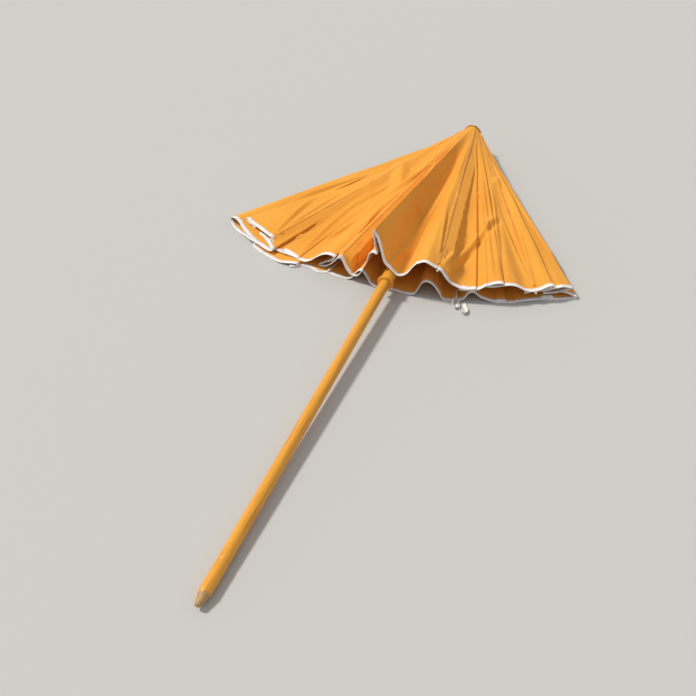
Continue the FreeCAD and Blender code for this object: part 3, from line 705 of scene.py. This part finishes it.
def noise(tree, source, scale, detail=3.0, rough=0.5):
    made = node(tree, "ShaderNodeTexNoise")
    made.inputs["Scale"].default_value = scale
    made.inputs["Detail"].default_value = detail
    made.inputs["Roughness"].default_value = rough
    tree.links.new(source, made.inputs["Vector"])
    return made.outputs[0]


def ramp(tree, source, stops):
    made = tree.nodes.new("ShaderNodeValToRGB")
    while len(made.color_ramp.elements) > 1:
        made.color_ramp.elements.remove(made.color_ramp.elements[-1])
    for k, (place, colour) in enumerate(stops):
        e = made.color_ramp.elements[0] if k == 0 else made.color_ramp.elements.new(place)
        e.position = place
        e.color = (*colour, 1)
    tree.links.new(source, made.inputs[0])
    return made.outputs[0]


def mix(tree, share, a, b):
    made = tree.nodes.new("ShaderNodeMix")
    made.data_type = "RGBA"
    for key, value in ((0, share), (6, a), (7, b)):
        if isinstance(value, (int, float)):
            made.inputs[key].default_value = value
        elif isinstance(value, tuple):
            made.inputs[key].default_value = (*value, 1)
        else:
            tree.links.new(value, made.inputs[key])
    return made.outputs[2]


def bump(tree, shader, heights):
    """Bumps one after another: (height socket, strength, distance in metres)."""
    last = None
    for height, strength, distance in heights:
        made = tree.nodes.new("ShaderNodeBump")
        made.inputs["Strength"].default_value = strength
        made.inputs["Distance"].default_value = distance
        tree.links.new(height, made.inputs["Height"])
        if last is not None:
            tree.links.new(last, made.inputs["Normal"])
        last = made.outputs[0]
    tree.links.new(last, shader.inputs["Normal"])


def weave(tree, uv, pitch):
    """Height of a plain weave whose threads are pitch apart, from flat coordinates in metres."""
    split = tree.nodes.new("ShaderNodeSeparateXYZ")
    tree.links.new(uv, split.inputs[0])
    k = math.pi / pitch
    x = math_node(tree, "SINE", math_node(tree, "MULTIPLY", split.outputs[0], k))
    y = math_node(tree, "SINE", math_node(tree, "MULTIPLY", split.outputs[1], k))
    return math_node(tree, "ABSOLUTE", math_node(tree, "MULTIPLY", x, y))


WEAVE_PITCH = 0.0011
CANVAS_PALE = (0.900, 0.400, 0.050)
CANVAS_DEEP = (0.820, 0.320, 0.030)
TAPE = (0.92, 0.88, 0.84)
LACQUER = (0.86, 0.390, 0.026)
LACQUER_DARK = (0.52, 0.170, 0.010)
BARE_WOOD = (0.56, 0.33, 0.13)
ENAMEL = (0.72, 0.70, 0.66)


def canvas_material():
    m, tree, shader = material("canvas_orange", CANVAS_PALE, 0.86)
    uv = node(tree, "ShaderNodeUVMap", uv_map="flat").outputs[0]
    place = node(tree, "ShaderNodeTexCoord").outputs["Object"]
    cloudy = noise(tree, place, 5.0, 4.0, 0.6)
    thread = noise(tree, scaled(tree, uv, (900, 60, 1)), 1.0, 2.0)
    cross = noise(tree, scaled(tree, uv, (60, 900, 1)), 1.0, 2.0)
    colour = ramp(tree, cloudy, [(0.30, CANVAS_DEEP), (0.68, CANVAS_PALE)])
    colour = mix(tree, math_node(tree, "MULTIPLY", thread, 0.10), colour, (0.98, 0.56, 0.14))
    colour = mix(tree, math_node(tree, "MULTIPLY", cross, 0.10), colour, (0.66, 0.22, 0.02))
    tree.links.new(colour, shader.inputs["Base Color"])
    shader.inputs["Sheen Weight"].default_value = 0.08
    shader.inputs["Sheen Roughness"].default_value = 0.5
    shader.inputs["Sheen Tint"].default_value = (1.0, 0.86, 0.62, 1)
    shader.inputs["Specular IOR Level"].default_value = 0.25
    slub = noise(tree, scaled(tree, uv, (40, 400, 1)), 1.0, 2.0)
    crumple = noise(tree, uv, 26.0, 4.0, 0.62)
    threads = weave(tree, uv, WEAVE_PITCH)
    bump(tree, shader, [(threads, 0.5, 0.00025), (slub, 0.25, 0.0003), (crumple, 0.35, 0.0045)])
    return m


def stitched_material(name, base, pitch, rows, thread):
    """Woven tape or seam: flat u runs across from 0 to 1, flat v runs along in metres."""
    m, tree, shader = material(name, base, 0.8)
    uv = node(tree, "ShaderNodeUVMap", uv_map="flat").outputs[0]
    split = tree.nodes.new("ShaderNodeSeparateXYZ")
    tree.links.new(uv, split.inputs[0])
    dash = math_node(tree, "SINE", math_node(tree, "MULTIPLY", split.outputs[1], 2 * math.pi / pitch))
    dash = math_node(tree, "GREATER_THAN", dash, -0.35)
    line = None
    for place in rows:
        near = math_node(tree, "ABSOLUTE", math_node(tree, "SUBTRACT", split.outputs[0], place))
        near = math_node(tree, "LESS_THAN", near, 0.028)
        line = near if line is None else math_node(tree, "MAXIMUM", line, near)
    stitch = math_node(tree, "MULTIPLY", line, dash)
    place = node(tree, "ShaderNodeTexCoord").outputs["Object"]
    dirt = noise(tree, place, 30.0, 5.0, 0.6)
    darker = tuple(c * 0.80 for c in base)
    colour = ramp(tree, dirt, [(0.35, darker), (0.60, base)])
    colour = mix(tree, math_node(tree, "MULTIPLY", stitch, 0.9), colour, thread)
    tree.links.new(colour, shader.inputs["Base Color"])
    shader.inputs["Sheen Weight"].default_value = 0.2
    shader.inputs["Specular IOR Level"].default_value = 0.25
    ribs = math_node(tree, "SINE", math_node(tree, "MULTIPLY", split.outputs[1], 2 * math.pi / 0.0014))
    bump(tree, shader, [(ribs, 0.06, 0.0001), (stitch, 0.12, 0.0002), (dirt, 0.2, 0.0006)])
    return m


def wood_material(name, worn_below=None):
    """Orange lacquer over straight grain; worn_below is the place along Y where bare wood begins."""
    m, tree, shader = material(name, LACQUER, 0.34)
    place = node(tree, "ShaderNodeTexCoord").outputs["Object"]
    grain = noise(tree, scaled(tree, place, (240, 5, 240)), 1.0, 6.0, 0.65)
    pores = noise(tree, scaled(tree, place, (900, 26, 900)), 1.0, 2.0)
    patch = noise(tree, place, 9.0, 4.0, 0.6)
    colour = ramp(tree, grain, [(0.32, LACQUER_DARK), (0.52, LACQUER), (0.80, (0.74, 0.31, 0.03))])
    colour = mix(tree, math_node(tree, "MULTIPLY", patch, 0.35), colour, (0.70, 0.27, 0.02))
    wear = noise(tree, scaled(tree, place, (60, 18, 60)), 1.0, 5.0, 0.7)
    scuff = math_node(tree, "GREATER_THAN", wear, 0.70)
    bare = ramp(tree, grain, [(0.3, (0.36, 0.19, 0.07)), (0.6, BARE_WOOD)])
    rough = 0.46
    if worn_below is not None:
        split = tree.nodes.new("ShaderNodeSeparateXYZ")
        tree.links.new(place, split.inputs[0])
        ragged = math_node(tree, "MULTIPLY", math_node(tree, "SUBTRACT", wear, 0.5), 0.05)
        edge = math_node(tree, "ADD", split.outputs[1], ragged)
        low = math_node(tree, "LESS_THAN", edge, worn_below)
        scuff = math_node(tree, "MAXIMUM", scuff, low)
    colour = mix(tree, scuff, colour, bare)
    tree.links.new(colour, shader.inputs["Base Color"])
    dull = math_node(tree, "MULTIPLY", scuff, 0.3)
    gloss = math_node(tree, "ADD", math_node(tree, "MULTIPLY", patch, 0.22), dull)
    tree.links.new(math_node(tree, "ADD", gloss, rough - 0.12), shader.inputs["Roughness"])
    shader.inputs["Coat Weight"].default_value = 0.10
    shader.inputs["Coat Roughness"].default_value = 0.40
    bump(tree, shader, [(grain, 0.25, 0.0006), (pores, 0.2, 0.0002)])
    return m


def metal_material(name, colour, rough, metal, spot_scale=60.0):
    m, tree, shader = material(name, colour, rough, metal)
    place = node(tree, "ShaderNodeTexCoord").outputs["Object"]
    stain = noise(tree, place, spot_scale, 5.0, 0.65)
    darker = tuple(c * 0.62 for c in colour)
    tree.links.new(ramp(tree, stain, [(0.36, darker), (0.56, colour)]), shader.inputs["Base Color"])
    gloss = ramp(tree, stain, [(0.3, (rough + 0.2,) * 3), (0.7, (rough,) * 3)])
    tree.links.new(gloss, shader.inputs["Roughness"])
    fine = noise(tree, scaled(tree, place, (800, 90, 800)), 1.0, 2.0)
    bump(tree, shader, [(stain, 0.15, 0.0004), (fine, 0.12, 0.0002)])
    return m


CANVAS = canvas_material()
HEM_TAPE = stitched_material("hem_tape", TAPE, 0.0034, (0.16, 0.84), (0.93, 0.92, 0.90))
SEAM_TAPE = stitched_material("felled_seam", (0.86, 0.350, 0.038), 0.0034, (0.14, 0.86), (0.95, 0.52, 0.12))
LACQUERED = wood_material("lacquered_wood")
SPIKE_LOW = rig.box("ground_spike")[0].y
SPIKE_WOOD = wood_material("spike_wood", SPIKE_LOW + 0.030)
STEEL = metal_material("white_enamel", ENAMEL, 0.35, 0.0, 45.0)
ZINC = metal_material("zinc_plate", (0.56, 0.55, 0.53), 0.42, 1.0, 120.0)
WIRE = metal_material("galvanised_wire", (0.50, 0.49, 0.47), 0.45, 1.0, 150.0)
TIP = metal_material("off_white_tip", (0.78, 0.75, 0.68), 0.5, 0.0, 90.0)

for name, obj in frame["nodes"].items():
    if name == "ground_spike":
        finish_material = SPIKE_WOOD
    elif name in ("pole", "crown_hub", "finial_cap", "runner_sleeve"):
        finish_material = LACQUERED
    elif name.startswith("rib_tip"):
        finish_material = TIP
    elif name.startswith("rib_slider"):
        finish_material = ZINC
    elif name.endswith("wire") or name == "finial_screw":
        finish_material = WIRE
    elif name.startswith("canopy"):
        finish_material = CANVAS
    else:
        finish_material = STEEL
    obj.data.materials.clear()
    obj.data.materials.append(finish_material)


# ---------------------------------------------------------------- canopy: cloth and hem

TAPE_WIDTH = 0.011
HALF_AREA = 0.5 * RIB_LENGTH * FOLD_LENGTH * math.sin(HALF_GORE)
HALF_WIDE = RIB_LENGTH * math.sin(HALF_GORE)
GRIDS = {}
WEIGHTS = {}


def grid_normals(grid, half):
    across = np.gradient(grid, axis=1)
    down = np.gradient(grid, axis=0)
    normal = np.cross(across, down)
    normal /= np.maximum(np.linalg.norm(normal, axis=2), 1e-9)[:, :, None]
    return -normal if half == "a" else normal


def make_tape(n, half, grid, weights):
    """White binding folded over the hem: outside strip, rounded edge, inside strip."""
    normal = grid_normals(grid, half)
    hem, above = grid[-1], grid[-5]
    way = hem - above
    way /= np.linalg.norm(way, axis=1)[:, None]
    out = normal[-2]
    stations = [(-TAPE_WIDTH, 0.65), (-TAPE_WIDTH * 0.5, 0.80), (-0.001, 0.85), (0.0004, 0.6), (0.0008, 0.0),
                (0.0004, -0.6), (-0.001, -0.85), (-TAPE_WIDTH * 0.5, -0.80), (-TAPE_WIDTH, -0.65)]
    run = np.concatenate([[0], np.cumsum(np.linalg.norm(np.diff(hem, axis=0), axis=1))])
    verts, uv, w = [], [], []
    for k, (back, off) in enumerate(stations):
        wave = 0.00025 * np.sin(run * 900 + n)
        verts.append(hem + way * back + out * (off * MM + wave * np.sign(off))[:, None])
        uv += [(k / (len(stations) - 1), r) for r in run]
        w.append(weights)
    verts = np.vstack(verts)
    verts[:, 2] = np.maximum(verts[:, 2], -0.0007)
    tape = make_object(f"hem_{n}{half}", verts, grid_faces(len(stations), COLUMNS + 1), uv)
    thicken(tape, 0.0004)
    tape.data.materials.append(HEM_TAPE)
    follow(tape, n, half, n if half == "a" else next_rib(n), np.concatenate(w))
    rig.slot(tape, "canopy_cloth")
    return tape


for n in range(1, RIBS + 1):
    for half in "ab":
        grid, s, t, rib = cloth_points(n, half)
        weights = open_weights(grid, s, n, half, rib)
        uv = [(x * HALF_WIDE * y, y * RIB_LENGTH) for y in t for x in s]
        cloth = make_object(f"cloth_{n}{half}", grid.reshape(-1, 3), grid_faces(ROWS + 1, COLUMNS + 1), uv)
        thicken(cloth, CLOTH)
        cloth.data.materials.append(CANVAS)
        follow(cloth, n, half, rib, np.tile(weights, ROWS + 1))
        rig.replaces(cloth, f"canopy_{n}{half}")
        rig.slot(cloth, "canopy_cloth")
        tape = make_tape(n, half, grid, weights)
        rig.sheet(cloth, flat=(HALF_WIDE, RIB_LENGTH), held="folded", rests_on=[f"rib_{rib}"],
                 area=HALF_AREA, with_pieces=[tape])
        GRIDS[f"{n}{half}"] = grid
        WEIGHTS[f"{n}{half}"] = weights

# ---------------------------------------------------------------- seams over the ribs

SEAM_HALF = 0.0045


def across_rows(grid, distance):
    """Points at a distance from the rib's edge of each row of a half gore."""
    steps = np.linalg.norm(np.diff(grid[:, :12], axis=1), axis=2)
    run = np.concatenate([np.zeros((len(grid), 1)), np.cumsum(steps, axis=1)], axis=1)
    found = [[np.interp(distance, run[r], grid[r, :12, k]) for k in range(3)] for r in range(len(grid))]
    return np.array(found)


def make_seam(n):
    """Felled seam between the gore on each side of rib n, sewn flat over the rib."""
    right, left = GRIDS[f"{n}a"], GRIDS[f"{(n - 2) % RIBS + 1}b"]
    sides = [(left, SEAM_HALF, 0.0), (left, SEAM_HALF * 0.8, 1.0), (left, SEAM_HALF * 0.25, 1.2),
             (right, SEAM_HALF * 0.25, 1.2), (right, SEAM_HALF * 0.8, 1.0), (right, SEAM_HALF, 0.0)]
    out = grid_normals(right, "a")[:, 1] + grid_normals(left, "b")[:, 1]
    out /= np.linalg.norm(out, axis=1)[:, None]
    run = np.linspace(0, RIB_LENGTH, ROWS + 1)
    gather = 0.25 * MM * np.sin(run * 700 + n) * np.sin(run * 190)
    verts, uv = [], []
    for k, (grid, distance, raised) in enumerate(sides):
        lift = raised * 0.8 * MM + gather * (raised > 0) + 0.0002
        row = across_rows(grid, distance) + out * lift[:, None]
        verts.append(row[:-3])
        uv += [(k / (len(sides) - 1), r) for r in run[:-3]]
    verts = np.vstack(verts)
    verts[:, 2] = np.maximum(verts[:, 2], -0.0008)
    seam = make_object(f"seam_{n}", verts, grid_faces(len(sides), ROWS - 2), uv)
    thicken(seam, 0.0003)
    seam.data.materials.append(SEAM_TAPE)
    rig.slot(seam, "canopy_cloth")
    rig.ride(seam, f"rib_{n}")
    return seam


for n in range(1, RIBS + 1):
    make_seam(n)

# ---------------------------------------------------------------- cloth cap over the crown

CAP_PROFILE = [(6.0, 13.9), (12.0, 14.0), (18.0, 14.2), (21.5, 14.1), (24.0, 13.3), (26.0, 11.8),
               (27.3, 9.9), (27.9, 8.2), (28.3, 6.4)]
CAP_TURNS = 96
cap_verts, cap_uv = [], []
for radius, along in CAP_PROFILE:
    for k in range(CAP_TURNS):
        turn = 360.0 * k / CAP_TURNS
        pleat = 0.55 * smooth(20, 28, radius) * math.cos(math.radians(turn - azimuth(1)) * RIBS)
        fine = 0.2 * smooth(18, 28, radius) * math.sin(math.radians(turn) * 31)
        cap_verts.append(crown_point(turn, (radius + pleat + fine) * MM, along * MM))
        a = math.radians(turn)
        cap_uv.append((radius * MM * math.cos(a), radius * MM * math.sin(a)))
cap = make_object("crown_cover", cap_verts, grid_faces(len(CAP_PROFILE), CAP_TURNS, closed=True), cap_uv)
thicken(cap, CLOTH)
cap.data.materials.append(CANVAS)
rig.ride(cap, "root")
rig.replaces(cap, "canopy_rosette")
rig.slot(cap, "canopy_cloth")
CAP_FLAT = 0.066
CAP_AREA = math.pi / 4 * CAP_FLAT**2
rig.sheet(cap, flat=(CAP_FLAT, CAP_FLAT), held="gathered", rests_on=["crown_hub"], area=CAP_AREA)

# ---------------------------------------------------------------- loose ends of tape at the hem

TIE_WIDTH = 0.0105
TIE_LINES = {
    "tie_long": [(13.5, 3.0, 812), (13.4, 1.2, 838), (13.9, 2.5, 862), (14.5, 5.0, 872), (14.9, 2.0, 864),
                 (14.6, 0.8, 842), (14.3, 0.8, 828)],
    "tie_short": [(12.6, 3.0, 812), (12.4, 1.0, 832), (12.9, 3.5, 850), (13.4, 2.4, 845), (13.2, 0.9, 830)],
}
for name, line in TIE_LINES.items():
    path = curve_through([hem_point(*h) for h in line], 60)
    way = np.gradient(path, axis=0)
    way /= np.linalg.norm(way, axis=1)[:, None]
    lean = np.linspace(0.2, 1.2, len(path))
    up = vec([0, 0, 1]) * np.cos(lean)[:, None] + np.cross(way, vec([0, 0, 1])) * np.sin(lean)[:, None]
    low = path - up * TIE_WIDTH / 2
    high = path + up * TIE_WIDTH / 2
    sink = np.minimum(np.minimum(low[:, 2], high[:, 2]) - 0.0002, 0)
    run = np.concatenate([[0], np.cumsum(np.linalg.norm(np.diff(path, axis=0), axis=1))])
    verts = np.vstack([low, path, high])
    verts[:, 2] -= np.tile(sink, 3)
    uv = [(k / 2, r) for k in range(3) for r in run]
    tie = make_object(name, verts, grid_faces(3, len(path)), uv)
    thicken(tie, 0.0005)
    tie.data.materials.append(HEM_TAPE)
    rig.ride(tie, "rib_7")
    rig.sheet(tie, flat=(TIE_WIDTH, float(run[-1])), held="laid", rests_on=["rib_7"])

# ---------------------------------------------------------------- camera, floor and light

camera_data = bpy.data.cameras.new("view")
camera_data.lens = 54.3
camera_data.sensor_width = 36.0
camera = bpy.data.objects.new("view", camera_data)
bpy.context.scene.collection.objects.link(camera)
LOOK_DOWN = math.radians(38.925)
LOOK_LEVEL = unit(vec([-0.3543, 0.9351, 0.0]))
look = LOOK_LEVEL * math.cos(LOOK_DOWN) - vec([0, 0, 1]) * math.sin(LOOK_DOWN)
camera.location = (0.7327, -2.0320, 1.6420)
camera.rotation_mode = "QUATERNION"
camera.rotation_quaternion = Vector(look).to_track_quat("-Z", "Y")
bpy.context.scene.camera = camera

FLOOR_SIZE = 12.0
FLOOR_HEIGHT = -0.0011
CORNERS = [(-1, -1), (1, -1), (1, 1), (-1, 1)]
floor_corners = [(x * FLOOR_SIZE, y * FLOOR_SIZE, FLOOR_HEIGHT) for x, y in CORNERS]
floor = make_object("floor", floor_corners, [(0, 1, 2, 3)], shade=False)
floor_material = material("pale_floor", (0.55, 0.54, 0.52), 0.9)[0]
floor.data.materials.append(floor_material)
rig.stage(floor)

level_right = unit(np.cross(LOOK_LEVEL, vec([0, 0, 1])))
light_way = unit(-level_right * 0.72 + LOOK_LEVEL * 0.28 + vec([0, 0, 1.0]))
key_data = bpy.data.lights.new("key", "SUN")
key_data.energy = 2.55
key_data.angle = math.radians(9)
key_data.color = (1.0, 0.965, 0.90)
key = bpy.data.objects.new("key", key_data)
key.rotation_mode = "QUATERNION"
key.rotation_quaternion = Vector(-light_way).to_track_quat("-Z", "Y")
bpy.context.scene.collection.objects.link(key)

world = bpy.data.worlds.new("studio")
world.use_nodes = True
world.node_tree.nodes["Background"].inputs[0].default_value = (0.95, 0.97, 1.0, 1)
world.node_tree.nodes["Background"].inputs[1].default_value = 0.52
bpy.context.scene.world = world
bpy.context.scene.view_settings.view_transform = "Standard"

with open("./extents.json", "w") as out_file:
    visual_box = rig.bounds()
    json.dump({"cad": [list(cad_box[0]), list(cad_box[1])],
               "visual": [list(visual_box[0]), list(visual_box[1])]}, out_file)
